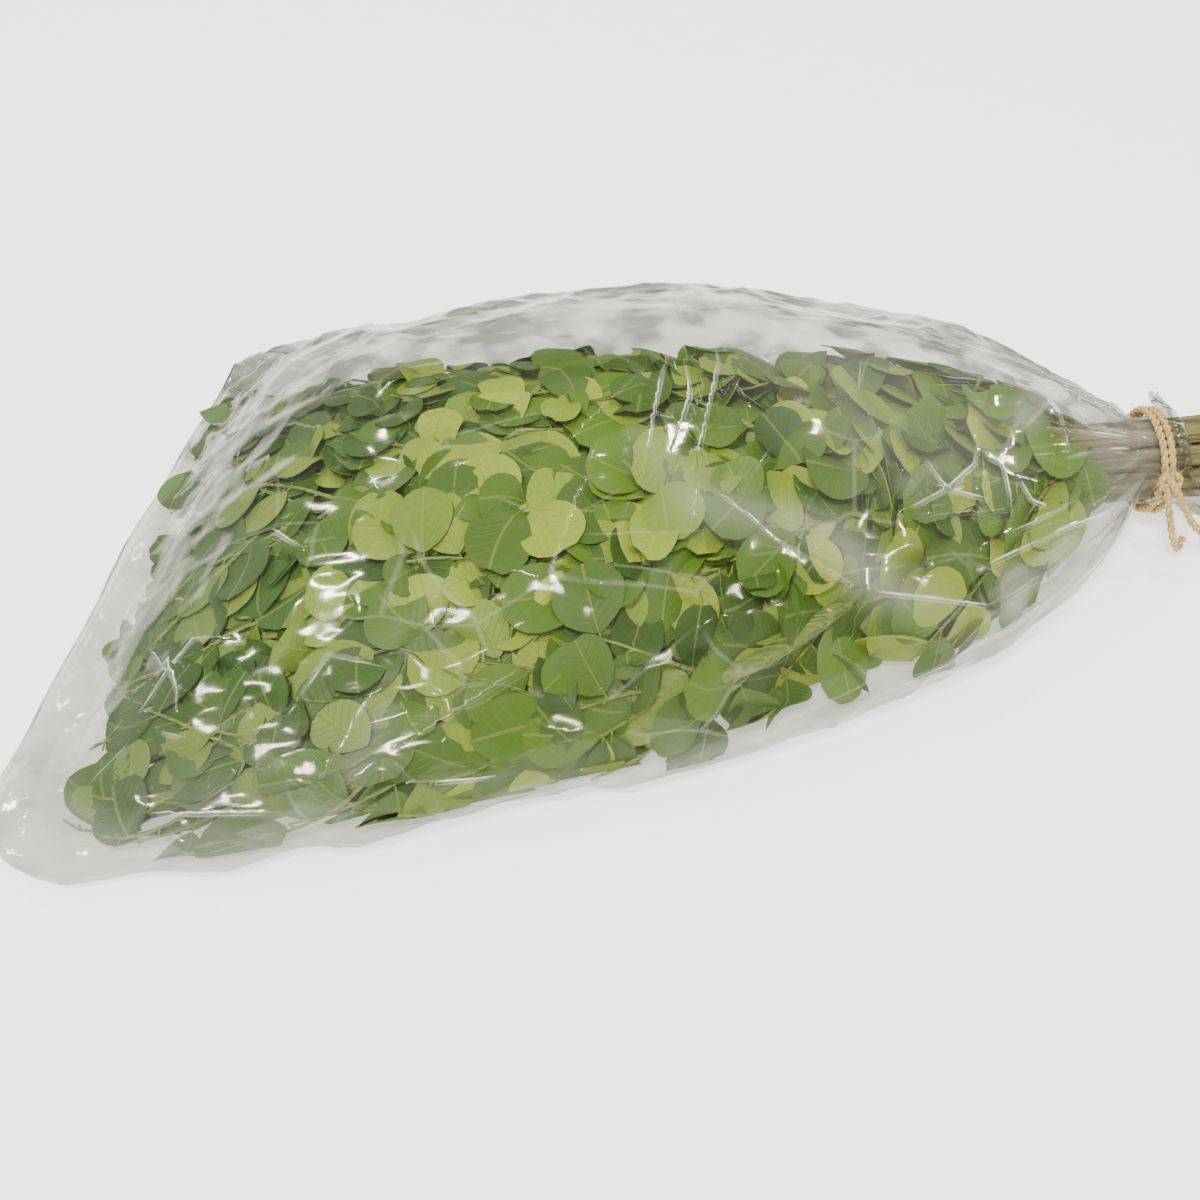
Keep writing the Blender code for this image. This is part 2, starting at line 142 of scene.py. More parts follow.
class Finish:
    """A material as it is put together; node() adds any node and gives one of its outputs."""

    def __init__(self, name):
        self.material = bpy.data.materials.new(name)
        self.material.use_nodes = True
        self.tree = self.material.node_tree
        self.shader = self.tree.nodes["Principled BSDF"]
        self.output = self.tree.nodes["Material Output"]

    def put(self, node, key, value):
        if isinstance(value, Wire):
            self.tree.links.new(value.socket, node.inputs[key])
        elif isinstance(value, tuple) and len(value) == 3 and node.inputs[key].type == "RGBA":
            node.inputs[key].default_value = (*value, 1.0)
        else:
            node.inputs[key].default_value = value

    def node(self, kind, settings=None, sockets=None, out=0):
        made = self.tree.nodes.new(kind)
        for key, value in (settings or {}).items():
            setattr(made, key, value)
        for key, value in (sockets or {}).items():
            self.put(made, key, value)
        return Wire(self, made.outputs[out])

    def split(self, kind, wire):
        """The three numbers of a colour or a vector."""
        first = self.node(kind, {}, {0: wire})
        return [Wire(self, output) for output in first.socket.node.outputs]

    def blend(self, share, first, second):
        """The colour that is the first at share 0 and the second at 1."""
        settings = {"data_type": "RGBA"}
        return self.node("ShaderNodeMix", settings, {0: share, 6: first, 7: second}, 2)

    def step(self, value, low, high):
        """A smooth rise from 0 at low to 1 at high."""
        settings = {"interpolation_type": "SMOOTHSTEP"}
        return self.node("ShaderNodeMapRange", settings, {0: value, 1: low, 2: high})

    def size_of(self, value):
        return self.node("ShaderNodeMath", {"operation": "ABSOLUTE"}, {0: value})

    def place(self, stretch=(1.0, 1.0, 1.0)):
        """Object coordinates, multiplied so that a pattern is drawn out along an axis."""
        spot = self.node("ShaderNodeTexCoord", out="Object")
        return self.node("ShaderNodeMapping", {}, {"Vector": spot, "Scale": stretch})

    def cloud(self, place, scale, detail=3.0, rough=0.5):
        sockets = {"Vector": place, "Scale": scale, "Detail": detail, "Roughness": rough}
        return self.node("ShaderNodeTexNoise", {}, sockets)

    def bump(self, height, strength, depth):
        sockets = {"Height": height, "Strength": strength, "Distance": depth}
        return self.node("ShaderNodeBump", {}, sockets)

    def finished(self, **sockets):
        for key, value in sockets.items():
            self.put(self.shader, key.replace("_", " "), value)
        return self.material


table_top = bmesh.new()
bmesh.ops.create_grid(table_top, x_segments=1, y_segments=1, size=TABLE_HALF_SIDE)
bmesh.ops.translate(table_top, verts=table_top.verts, vec=(0.0, 0.0, -0.3 * MM))
table_mesh = bpy.data.meshes.new("table")
table_top.to_mesh(table_mesh)
table_top.free()
pale = Finish("pale_table")
grain = pale.cloud(pale.place(), 90.0, 1.0)
table_mesh.materials.append(pale.finished(
    Base_Color=pale.blend(grain, (0.86, 0.86, 0.87), (0.9, 0.9, 0.91)),
    Roughness=0.7,
    Emission_Color=(0.98, 0.99, 1.0),
    Emission_Strength=TABLE_GLOW,
))
table = bpy.data.objects.new("table", table_mesh)
bpy.context.scene.collection.objects.link(table)

# Leafy stems: nine fresh moringa shoots laid together. Each has a round ribbed stem, green inside
# the bag and browner where it was cut, thin pale twigs, and limp rounded leaflets in pairs, dark
# above and pale yellowish beneath, that the film presses into a low dome.

# All lengths are in mm. Here x, half width, shift sideways, height of the side fold, top and bottom.
BAG_ROWS = (
    (-132, 82.0, 8.0, 1.1, 2.2, 0.0),
    (-122, 89.5, 1.5, 1.4, 6.0, 0.0),
    (-110, 92.0, -2.0, 3.5, 20.0, -2.0),
    (-90, 91.0, -5.5, 6.0, 36.0, -3.0),
    (-60, 87.0, -5.5, 7.5, 48.0, -3.0),
    (-20, 84.5, -2.0, 8.5, 54.0, -3.0),
    (20, 81.5, 2.0, 9.5, 55.0, -3.0),
    (60, 71.0, 2.2, 11.0, 52.0, -3.0),
    (90, 59.0, 1.5, 13.0, 47.5, -2.0),
    (110, 47.0, 1.0, 14.5, 43.0, 0.5),
    (128, 32.3, 0.6, 16.5, 36.5, 3.0),
    (140, 19.0, 0.0, 17.8, 32.0, 5.0),
    (147, 12.4, 0.0, 18.0, 30.4, 5.6),
    (157, 12.4, 0.0, 18.0, 30.4, 5.6),
    (163, 15.5, 0.0, 18.0, 33.0, 3.2),
    (170, 17.5, 0.0, 17.5, 34.0, 1.5),
)
HALF_WIDTH, SHIFT, FOLD, TOP, BOTTOM = 1, 2, 3, 4, 5
SEAM = BAG_ROWS[0][0]
SEAM_SKEW = 26.0
# The foliage's rows: x, half width, middle.
FOLIAGE_ROWS = (
    (-128, 82.0, -1.0),
    (-110, 87.0, -6.5),
    (-90, 84.5, -9.5),
    (-60, 80.0, -10.5),
    (-20, 76.0, -9.0),
    (20, 72.5, -6.5),
    (60, 63.5, -4.0),
    (90, 53.0, -2.5),
    (110, 43.0, -1.0),
    (128, 31.0, -0.5),
    (140, 18.0, 0.0),
)
DOME_SHARE = 0.62
STEM_HEIGHT = 18.0
RING_RADIUS = 8.35
STEM_RADIUS = 2.85
INNER_STEM_RADIUS = 3.3
LEAF_END = -123.5
LEAF_START = 134.0
WIDEST = math.radians(110.0)
CUT_END = 214.0
LEAF_LENGTH = 19.0
LEAF_WIDTH = 14.5
LEAF_STALK = 1.6
BLADE_THICKNESS = 0.2
BLADE_ROWS = 6
BLADE_COLUMNS = 4
LEAF_SEED = 700
# Each stem: its angle round the dome from the far side, its share of the way out to the film, and
# its slot round the neck in degrees, or None in the middle. Then how much shorter its tip is and
# longer its cut end, the step between twigs, their reach and rise, how far out leaflets may lie,
# and how much they tilt.
STEM_KEYS = ("angle", "out", "slot", "shorter", "longer", "twig_step", "reach", "rise", "limit", "tilt")
STEM_ROWS = (
    (25, 0.80, 0, 2, 0, 12.0, 1.0, 1.4, 0.985, 23.0),
    (58, 0.80, 45, 0, -9, 12.0, 1.0, 1.4, 0.985, 23.0),
    (90, 0.80, 90, 2, 5, 12.0, 1.0, 1.4, 0.985, 23.0),
    (122, 0.80, 135, 1, -3, 12.0, 1.0, 1.4, 0.985, 23.0),
    (157, 0.88, 180, 4, 2, 12.0, 1.0, 1.4, 0.985, 23.0),
    (24, 0.42, -45, 6, 3, 16.0, 0.9, 1.0, 0.72, 26.0),
    (90, 0.50, None, 4, -14, 17.0, 0.9, 1.0, 0.75, 26.0),
    (172, 0.76, -135, 8, -6, 11.0, 1.2, 0.6, 0.975, 24.0),
    (100, 0.13, -90, 10, -10, 11.0, 1.7, -0.4, 0.97, 14.0),
)


def smooth_step(low, high, value):
    t = np.clip((value - low) / (high - low), 0.0, 1.0)
    return t * t * (3 - 2 * t)


def mix(first, second, share):
    return first + (second - first) * share


def smooth_rows(rows, column):
    """Rows drawn out to a fine table along the bag, on a smooth curve."""
    fine = []
    for i in range(len(rows) - 1):
        wide = rows[i + 1][0] - rows[i][0]
        slopes = []
        for k in (i, i + 1):
            a, b = max(k - 1, 0), min(k + 1, len(rows) - 1)
            slopes.append((rows[b][column] - rows[a][column]) / (rows[b][0] - rows[a][0]))
        t = np.linspace(0.0, 1.0, 24, endpoint=False)
        start, end = rows[i][column], rows[i + 1][column]
        made = (2 * t**3 - 3 * t**2 + 1) * start + (t**3 - 2 * t**2 + t) * wide * slopes[0]
        made += (3 * t**2 - 2 * t**3) * end + (t**3 - t**2) * wide * slopes[1]
        fine.append(np.stack((rows[i][0] + t * wide, np.clip(made, min(start, end), max(start, end)))))
    fine.append(np.array([[rows[-1][0]], [rows[-1][column]]]))
    return np.concatenate(fine, axis=1)


fine_rows = {column: smooth_rows(BAG_ROWS, column) for column in (HALF_WIDTH, SHIFT, FOLD, TOP, BOTTOM)}
foliage_half, foliage_middle = smooth_rows(FOLIAGE_ROWS, 1), smooth_rows(FOLIAGE_ROWS, 2)


def bag_row(x, column):
    return np.interp(x, *fine_rows[column])


def skew(x):
    """How far the slanting welded end moves the far side of the bag towards the neck."""
    return SEAM_SKEW * (1 - smooth_step(SEAM, -35.0, x))


def dome(x):
    """The foliage inside the bag at x: its half width, middle, lowest level and height, in mm."""
    low = np.maximum(bag_row(x, BOTTOM), 0.0) + 1.6
    high = np.maximum(bag_row(x, TOP) - 2.2, low + 1.5)
    return np.interp(x, *foliage_half), np.interp(x, *foliage_middle), low, high - low


def foliage_point(x, angle, out):
    """The point of a spot in the foliage: mm along, angle round and share of the way out."""
    half, middle, low, high = dome(x)
    across = np.cos(angle)
    return np.stack((
        x + skew(x) * out * across * DOME_SHARE,
        middle + out * half * across,
        low + out * high * np.sin(angle),
    ), axis=-1)


def dome_spot(point):
    """The spot in the foliage that a point is at."""
    x = point[0]
    for _ in range(6):
        half, middle, low, high = dome(x)
        across, up = (point[1] - middle) / half, (point[2] - low) / high
        x = point[0] - skew(x) * across * DOME_SHARE
    return np.array((x, math.atan2(up, across), math.hypot(across, up)))


def moved(spot, forward, sideways, rise):
    """The spot so many mm towards the tip, round the dome and outwards from another."""
    x, angle, out = spot
    half, _, _, high = dome(x)
    c, s = np.cos(angle), np.sin(angle)
    arc = np.maximum(out, 0.25) * np.sqrt((half * s) ** 2 + (high * c) ** 2)
    deep = half * high / np.sqrt((high * c) ** 2 + (half * s) ** 2)
    return x - forward, angle + sideways / arc, out + rise / deep


def pressed(spot, limit, floor):
    """Points of spots, kept within the limit as the film above presses, and on the floor below."""
    x, angle, out = spot
    points = foliage_point(x, angle, np.minimum(out, limit))
    points[..., 2] = np.maximum(points[..., 2], dome(x)[2] + floor)
    return points


def stem_line(stem):
    """A stem from its tip in the foliage, through its slot in the neck, to its cut end."""
    across, up = stem["neck"]
    line = []
    x = stem["tip"]
    while x < stem["end"] - 5:
        spread = 1 + 0.55 * smooth_step(160.0, 230.0, x)
        gathered = np.array((x, across * spread, STEM_HEIGHT + up * spread))
        in_bag = foliage_point(min(x, 138.0), stem["angle"], stem["out"])
        in_bag[0] = mix(in_bag[0], x, smooth_step(-90.0, 20.0, x))
        line.append(mix(in_bag, gathered, smooth_step(15.0, 138.0, x)))
        x += 4.5
    line.append(np.array((stem["end"], gathered[1] * 1.01, gathered[2])))
    return np.array(line)


def blade_template():
    """A rounded leaflet outline in quads, as thin as a leaf, with each point's place on it."""
    bm = bmesh.new()
    bmesh.ops.create_grid(bm, x_segments=BLADE_ROWS, y_segments=BLADE_COLUMNS, size=1.0)
    bmesh.ops.solidify(bm, geom=list(bm.faces), thickness=0.1)
    bm.normal_update()
    places = np.array([v.co for v in bm.verts])
    mesh = bpy.data.meshes.new("blade")
    bm.to_mesh(mesh)
    bm.free()
    u, v = np.clip(places[:, 0], -1, 1), np.clip(places[:, 1], -1, 1)
    along = 0.5 + 0.5 * u * np.sqrt(1 - v * v / 2)
    across = 0.5 * v * np.sqrt(1 - u * u / 2)
    above = places[:, 2] > places[:, 2].mean()
    return mesh, along, across, above


blade, blade_along, blade_across, blade_above = blade_template()


def blade_points(root, heading, tilt, roll, size, shape, limit, floor):
    """The points of one leaflet that grows from a spot, limp and bent by what presses on it."""
    length, width = LEAF_LENGTH * size, LEAF_WIDTH * size * shape["wide"]
    taper = 0.80 + 0.42 * blade_along - 0.10 * blade_along**4
    base = smooth_step(-0.02, 0.22, blade_along)
    a0 = blade_along * length - shape["notch"] * np.exp(-(blade_across / 0.1) ** 2) * blade_along**8
    b0 = blade_across * width * taper * mix(0.55, 1.0, base)

    def surface(a, b):
        t, s = a / length, b / width
        rise = a * math.sin(tilt) + b * math.sin(roll)
        rise = rise + shape["cup"] * (s * s * 4) - shape["droop"] * t * t
        rise = rise + shape["wave"] * np.sin(7.0 * t + shape["phase"]) * np.abs(s) * 2
        turn = heading + shape["bend"] * t
        forward = (a * math.cos(tilt)) * np.cos(turn) - b * np.sin(turn)
        sideways = (a * math.cos(tilt)) * np.sin(turn) + b * np.cos(turn)
        return pressed(moved(root, forward, sideways, rise), limit, floor)

    tiny = 0.2
    ends = moved(root, length * np.cos(heading), length * np.sin(heading), 0.0)
    if not LEAF_END - 3 < ends[0] < LEAF_START + 6 or abs(ends[1] - math.pi / 2) > WIDEST:
        return None
    middle = surface(a0, b0)
    if np.ptp(middle, axis=0).max() > 1.3 * length:
        return None
    normal = np.cross(surface(a0 + tiny, b0) - middle, surface(a0, b0 + tiny) - middle)
    normal /= np.linalg.norm(normal, axis=1)[:, None] + 1e-12
    lift = np.where(blade_above, 0.5, -0.5) * BLADE_THICKNESS
    return middle + normal * lift[:, None]


def grow_stem(number, stem):
    """The lines of a stem and its twigs, and the leaflets on them."""
    rng = random.Random(LEAF_SEED + number)
    line = stem_line(stem)
    radii = [
        stem["radius"] * mix(0.36, 1.0, smooth_step(-130.0, 120.0, p[0]))
        * mix(1.0, 1.12, smooth_step(160.0, 215.0, p[0]))
        for p in line
    ]
    tubes = [(line, radii)]
    leaves = []
    x = LEAF_START + 3
    side = 1 if number % 2 else -1

    def leaf(spot, heading, size):
        shape = {
            "wide": rng.uniform(0.84, 1.12),
            "notch": rng.uniform(-0.6, 1.3),
            "cup": rng.uniform(-2.2, 3.4),
            "droop": rng.uniform(-2.0, 4.0),
            "wave": rng.uniform(-0.9, 0.9),
            "phase": rng.uniform(0.0, 6.3),
            "bend": rng.uniform(-0.35, 0.35),
        }
        tilt = math.radians(rng.gauss(4.0, stem["tilt"]))
        roll = math.radians(rng.gauss(0.0, stem["tilt"]))
        limit = rng.uniform(stem["limit"] - 0.11, stem["limit"])
        floor = rng.uniform(0.2, 5.0)
        size *= mix(0.84, 1.08, smooth_step(-110.0, -10.0, spot[0]))
        points = blade_points(spot, heading, tilt, roll, size, shape, limit, floor)
        if points is None:
            points = blade_points(spot, heading * 0.25, tilt, roll, size, shape, limit, floor)
        if points is None:
            return
        middle = points.mean(axis=0)
        near_middle = math.exp(-((middle[0] + 5) / 75) ** 2 - ((middle[1] + 45) / 40) ** 2)
        turned = rng.random() < mix(0.22, 0.5, near_middle)
        leaves.append((points, rng.random(), turned))

    while x > stem["tip"] + 2:
        k = int(np.argmin(np.abs(line[:, 0] - x)))
        root = dome_spot(line[k])
        for s in (side, -side) if rng.random() < 0.75 else (side,):
            heading = s * math.radians(rng.uniform(26, 58))
            reach = rng.uniform(24, 40) * stem["reach"] * mix(1.0, 1.6, smooth_step(0.0, 75.0, x))
            lift = rng.uniform(0, 7) * stem["rise"]
            bend = -s * rng.uniform(0.1, 0.5)

            def along(t):
                turn = heading + bend * t
                return moved(root, reach * t * math.cos(turn), reach * t * math.sin(turn), lift * t)

            while reach > 8 and (along(1.0)[0] < LEAF_END or abs(along(1.0)[1] - math.pi / 2) > WIDEST):
                reach *= 0.8
            steps = np.linspace(0, 1, 7)
            twig = np.array([pressed(along(t), stem["limit"] - 0.03, 2.0) for t in steps])
            if np.linalg.norm(np.diff(twig, axis=0), axis=1).sum() > 1.4 * reach + 4:
                continue
            tubes.append((twig, [mix(0.62, 0.34, t) for t in steps]))
            pairs = max(2, round(reach / 9.5))
            for pair in range(pairs):
                t = (pair + 0.9) / (pairs + 0.35)
                spot = along(t)
                for across in (1, -1):
                    if rng.random() < 0.08:
                        continue
                    turn = heading + bend * t + across * math.radians(rng.uniform(42, 72))
                    size = rng.uniform(0.72, 1.08) * mix(0.9, 1.05, math.sin(math.pi * t))
                    foot = moved(spot, LEAF_STALK * math.cos(turn), LEAF_STALK * math.sin(turn), 0.2)
                    ends = [pressed(p, stem["limit"] - 0.03, 2.0) for p in (spot, foot)]
                    tubes.append((np.array(ends), [0.3, 0.25]))
                    leaf(foot, turn, size)
            leaf(along(1.0), heading + bend, rng.uniform(0.85, 1.2))
        side = -side
        x -= rng.uniform(0.8, 1.25) * stem["twig_step"]
    leaf(dome_spot(line[0]), rng.uniform(-0.3, 0.3), 1.1)
    return tubes, leaves


def tube_mesh(name, tubes, sides):
    """Closed tubes along lines of points in mm, each with a radius at every point."""
    curve = bpy.data.curves.new(name, "CURVE")
    curve.dimensions = "3D"
    curve.bevel_depth = MM
    curve.bevel_resolution = (sides - 4) // 2
    curve.use_fill_caps = True
    for line, radii in tubes:
        spline = curve.splines.new("POLY")
        spline.points.add(len(line) - 1)
        for point, place, radius in zip(spline.points, line, radii):
            point.co = (*(np.array(place) * MM), 1.0)
            point.radius = radius
    guide = bpy.data.objects.new(name, curve)
    mesh = bpy.data.meshes.new_from_object(guide)
    bpy.data.objects.remove(guide)
    bm = bmesh.new()
    bm.from_mesh(mesh)
    bmesh.ops.remove_doubles(bm, verts=bm.verts, dist=0.000001)
    bmesh.ops.recalc_face_normals(bm, faces=bm.faces)
    bm.to_mesh(mesh)
    bm.free()
    return mesh


def stem_from(row):
    """What a stem's row says, with its slot, tip and end as places."""
    stem = dict(zip(STEM_KEYS, row))
    in_middle = stem["slot"] is None
    turn = math.radians(0 if in_middle else stem["slot"])
    ring = 0 if in_middle else RING_RADIUS
    stem["angle"] = math.radians(stem["angle"])
    stem["neck"] = (ring * math.cos(turn), ring * math.sin(turn))
    stem["radius"] = INNER_STEM_RADIUS if in_middle else STEM_RADIUS
    stem["tip"] = LEAF_END + stem["shorter"]
    stem["end"] = CUT_END + stem["longer"]
    return stem


leafy = Finish("moringa_leaf")
tone = leafy.node("ShaderNodeAttribute", {"attribute_name": "tone"}, out="Color")
chance, under, _ = leafy.split("ShaderNodeSeparateColor", tone)
along, across, _ = leafy.split("ShaderNodeSeparateXYZ", leafy.node("ShaderNodeUVMap", {"uv_map": "blade"}))
off_rib = leafy.size_of(across - 0.5) * 2.0
rib = 1.0 - leafy.step(off_rib, 0.015, 0.07)
wave = leafy.node("ShaderNodeMath", {"operation": "SINE"}, {0: (along - off_rib * 0.32) * 48.0})
vein = leafy.step(wave, 0.72, 1.0) * (1.0 - leafy.step(off_rib, 0.55, 0.95))
patches = leafy.cloud(leafy.place(), 140.0, 1.0)
blotches = leafy.cloud(leafy.place(), 900.0, 1.0)
along_bunch, _, _ = leafy.split("ShaderNodeSeparateXYZ", leafy.node("ShaderNodeTexCoord", out="Object"))
# Painted reflection: towards the leafy end the leaves are mixed towards a darker bluish green. This stands
# in for the bluish cast that the film's reflections give them there, and is not their own colour.
bluish_end_reflection = 1.0 - leafy.step(along_bunch, -0.115, -0.02)
upper = leafy.blend(chance, (0.018, 0.066, 0.002), (0.130, 0.265, 0.003))
upper = leafy.blend(patches * 0.35, upper, (0.060, 0.170, 0.002))
upper = leafy.blend(bluish_end_reflection * 0.7, upper, (0.026, 0.088, 0.021))
lower = leafy.blend(chance, (0.17, 0.29, 0.014), (0.40, 0.51, 0.034))
lower = leafy.blend(patches * 0.35, lower, (0.26, 0.39, 0.018))
lower = leafy.blend(bluish_end_reflection * 0.7, lower, (0.11, 0.21, 0.045))
blade_colour = leafy.blend(under, upper, lower)
blade_colour = leafy.blend(vein * 0.09, blade_colour, (0.25, 0.34, 0.05))
blade_colour = leafy.blend(rib * 0.35, blade_colour, (0.36, 0.44, 0.09))
blade_colour = leafy.blend((blotches - 0.35) * 0.3, blade_colour, (0.04, 0.08, 0.004))
leaf_material = leafy.finished(
    Base_Color=blade_colour,
    Roughness=0.40 + patches * 0.25,
    Normal=leafy.bump(rib * 0.8 + vein * 0.5, 0.5, 0.0004),
)

woody = Finish("moringa_stem")
streaks = woody.step(woody.cloud(woody.place((1.5, 60.0, 60.0)), 16.0, 4.0), 0.3, 0.7)
flecks = woody.cloud(woody.place(), 600.0, 2.0)
shoots = woody.step(woody.cloud(woody.place((0.1, 1.0, 1.0)), 105.0, 1.0), 0.4, 0.6)
along_bunch, _, height = woody.split("ShaderNodeSeparateXYZ", woody.node("ShaderNodeTexCoord", out="Object"))
outside = woody.step(along_bunch, 0.04, 0.15)
high_up = woody.step(height, 0.014, 0.026)
green = woody.blend(streaks, (0.14, 0.24, 0.03), (0.34, 0.44, 0.10))
olive = woody.blend(streaks, (0.022, 0.034, 0.004), (0.13, 0.15, 0.03))
brown = woody.blend(streaks, (0.08, 0.045, 0.012), (0.34, 0.23, 0.09))
cut_part = woody.blend(high_up * 0.5 + shoots * 0.5, olive, brown)
bark = woody.blend(outside * 0.92, green, cut_part)
stem_material = woody.finished(
    Base_Color=woody.blend(woody.step(flecks, 0.58, 0.78) * 0.3, bark, (0.40, 0.36, 0.17)),
    Roughness=0.45 + streaks * 0.2,
    Normal=woody.bump(streaks + flecks * 0.3, 0.9, 0.0007),
)

pith = Finish("cut_pith")
rings = pith.cloud(pith.place(), 1400.0, 3.0)
pith_material = pith.finished(
    Base_Color=pith.blend(rings, (0.50, 0.52, 0.28), (0.72, 0.72, 0.50)),
    Roughness=0.75,
    Normal=pith.bump(rings, 0.6, 0.0003),
)

for number, row in enumerate(STEM_ROWS, 1):
    stem = stem_from(row)
    tubes, leaves = grow_stem(number, stem)
    name = f"leafy_stem_{number:02d}"
    bm = bmesh.new()
    mapped = bm.loops.layers.uv.new("blade")
    toned = bm.verts.layers.float_color.new("tone")
    for points, shade, turned in leaves:
        first, faces = len(bm.verts), len(bm.faces)
        bm.from_mesh(blade)
        bm.verts.ensure_lookup_table()
        bm.faces.ensure_lookup_table()
        bm.verts.index_update()
        for k, place in enumerate(points):
            vert = bm.verts[first + k]
            vert.co = place * MM
            vert[toned] = (shade, float(turned == blade_above[k]), 0.0, 1.0)
        for face in bm.faces[faces:]:
            for loop in face.loops:
                k = loop.vert.index - first
                loop[mapped].uv = (blade_along[k], blade_across[k] + 0.5)
    faces = len(bm.faces)
    bm.from_mesh(tube_mesh(name, tubes[:1], 10))
    bm.from_mesh(tube_mesh(name, tubes[1:], 6))
    bm.faces.ensure_lookup_table()
    bm.normal_update()
    for face in bm.faces[faces:]:
        face.material_index = 1
        if face.calc_center_median().x > (stem["end"] - 0.3) * MM and abs(face.normal.x) > 0.8:
            face.material_index = 2
    mesh = bpy.data.meshes.new(name)
    bm.to_mesh(mesh)
    bm.free()
    mesh.shade_smooth()
    mesh.set_sharp_from_angle(angle=math.radians(50.0))
    mesh.materials.append(leaf_material)
    mesh.materials.append(stem_material)
    mesh.materials.append(pith_material)
    spray = bpy.data.objects.new(name + "_spray", mesh)
    bpy.context.scene.collection.objects.link(spray)
    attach(spray, "root")
    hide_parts(name)

# Film bag: a flat tube of thin clear film, welded across its leafy end and gathered by hand round
# the stems at the other, so that sharp pleats run out from the neck. Handling has left fine
# creases all over it, and it stands off the leaves along both sides and the welded end.
AROUND = 290
LENGTHWISE = 270
MOUTH = 170.0
MOUTH_SHORTER = 11.0
TIED_FROM, TIED_TO = 147, 157
PLEATS = 17
PLEAT_HEIGHT = 2.4
CREASE_SEED = 12
STARS = 34
RUN_INS = 34

# The longest creases: spots as x and degrees round the bag from its far side, height, width.
LONG_CREASES = (
    (((-3, 101), (-18, 126), (-4, 130)), 2.2, 3.2),
    (((-71, 162), (-54, 136)), 2.6, 3.6),
    (((-54, 136), (-66, 131), (-74, 141)), 1.4, 2.6),
    (((-104, 131), (-95, 118), (-84, 122)), 1.5, 2.8),
    (((-106, 116), (-91, 131)), 1.2, 2.2),
    (((63, 128), (81, 122), (90, 116), (95, 99)), 2.3, 3.2),
    (((77, 112), (81, 122), (93, 127)), 1.6, 2.6),
    (((96, 138), (119, 134)), 1.8, 3.0),
    (((113, 77), (120, 97), (117, 128)), 1.7, 3.0),
    (((104, 72), (121, 82)), 1.6, 2.6),
    (((-2, 120), (6, 111), (15, 88), (31, 52), (38, 26)), 2.3, 3.0),
    (((14, 118), (21, 106), (30, 86), (34, 50), (35, 22)), 2.0, 2.8),
    (((12, 110), (21, 94), (25, 63), (27, 34)), 1.3, 2.2),
    (((58, 143), (74, 149), (90, 158)), 1.8, 2.8),
    (((20, 113), (37, 128), (56, 142)), 1.5, 2.8),
    (((-82, 101), (-72, 109)), 1.3, 2.0),
    (((-48, 163), (-34, 165)), 1.4, 2.4),
    (((-111, 65), (-71, 82)), 1.6, 4.0),
    (((-120, 78), (-102, 91)), 1.2, 2.4),
    (((86, 145), (93, 144), (112, 143), (124, 146), (132, 148)), 2.0, 2.4),
    (((108, 177), (124, 172), (139, 164), (143, 150)), 1.8, 2.2),
    (((106, 190), (128, 189), (141, 184)), 1.6, 2.0),
    (((109, 96), (98, 116), (98, 124), (98, 136)), 1.7, 2.4),
    (((101, 122), (104, 130), (109, 134)), 1.5, 2.0),
    (((124, 80), (112, 100), (104, 109)), 1.9, 2.6),
    (((110, 71), (120, 76), (136, 84)), 1.4, 2.2),
    (((112, 104), (125, 105), (141, 107)), 1.6, 2.0),
    (((112, 118), (128, 114), (142, 118)), 1.5, 2.0),
    (((55, 176), (82, 172), (106, 170), (134, 166)), 1.3, 2.2),
    (((16, 55), (43, 56), (72, 61), (100, 68)), 1.2, 2.2),
    (((-101, 118), (-95, 128), (-94, 134)), 1.4, 2.2),
    (((-98, 135), (-91, 139)), 1.2, 1.8),
    (((-124, 99), (-99, 109)), 1.2, 2.0),
    (((-100, 153), (-87, 157), (-72, 163)), 1.4, 2.4),
)

# Where the film lies doubled, dusty or rubbed and veils what is under it, and where a whitish painted sheen
# stands in for light on it, as by the neck: spots, half width, strength.
HAZE_AND_SHEEN_BANDS = (
    (((4, 98), (18, 117), (34, 122), (49, 128), (62, 143), (84, 161)), 6.0, 0.75),
    (((96, 145), (96, 157), (95, 169)), 6.0, 0.7),
    (((126, 73), (112, 95), (101, 112)), 5.0, 0.9),
    (((-123, 65), (-96, 102), (-92, 123)), 12.0, 0.1),
    (((-125, 99), (-103, 125), (-104, 144)), 9.0, 0.15),
    (((-66, 160), (-53, 143)), 5.0, 0.5),
    (((-127, 150), (-112, 160), (-90, 175), (-72, 184)), 9.0, 1.0),
    (((-130, 110), (-128, 150), (-126, 185)), 8.0, 0.9),
    (((128, 60), (132, 120), (128, 200)), 8.0, 0.8),
    (((-51, 178), (-10, 179), (34, 179), (82, 178), (128, 178)), 2.5, 0.7),
    (((-79, 44), (-23, 48), (32, 50), (81, 53), (118, 66)), 8.0, 0.6),
    (((68, 123), (79, 116), (87, 117)), 6.0, 0.6),
    (((40, 70), (75, 100), (110, 125)), 24.0, 0.5),
    (((-112, 138), (-88, 152), (-55, 164)), 14.0, 0.22),
    (((96, 60), (122, 84), (140, 95)), 7.0, 0.8),
    (((100, 150), (122, 150), (142, 160)), 6.0, 0.8),
)

sheet = bmesh.new()
bmesh.ops.create_grid(sheet, x_segments=LENGTHWISE, y_segments=AROUND, size=1.0)
film_mesh = bpy.data.meshes.new("film_bag")
sheet.to_mesh(film_mesh)
sheet.free()
flat = np.empty(len(film_mesh.vertices) * 3)
film_mesh.vertices.foreach_get("co", flat)
flat = flat.reshape(-1, 3)
stations = mix(SEAM, MOUTH, (flat[:, 0] + 1) / 2)
angles = (flat[:, 1] + 1) * math.pi


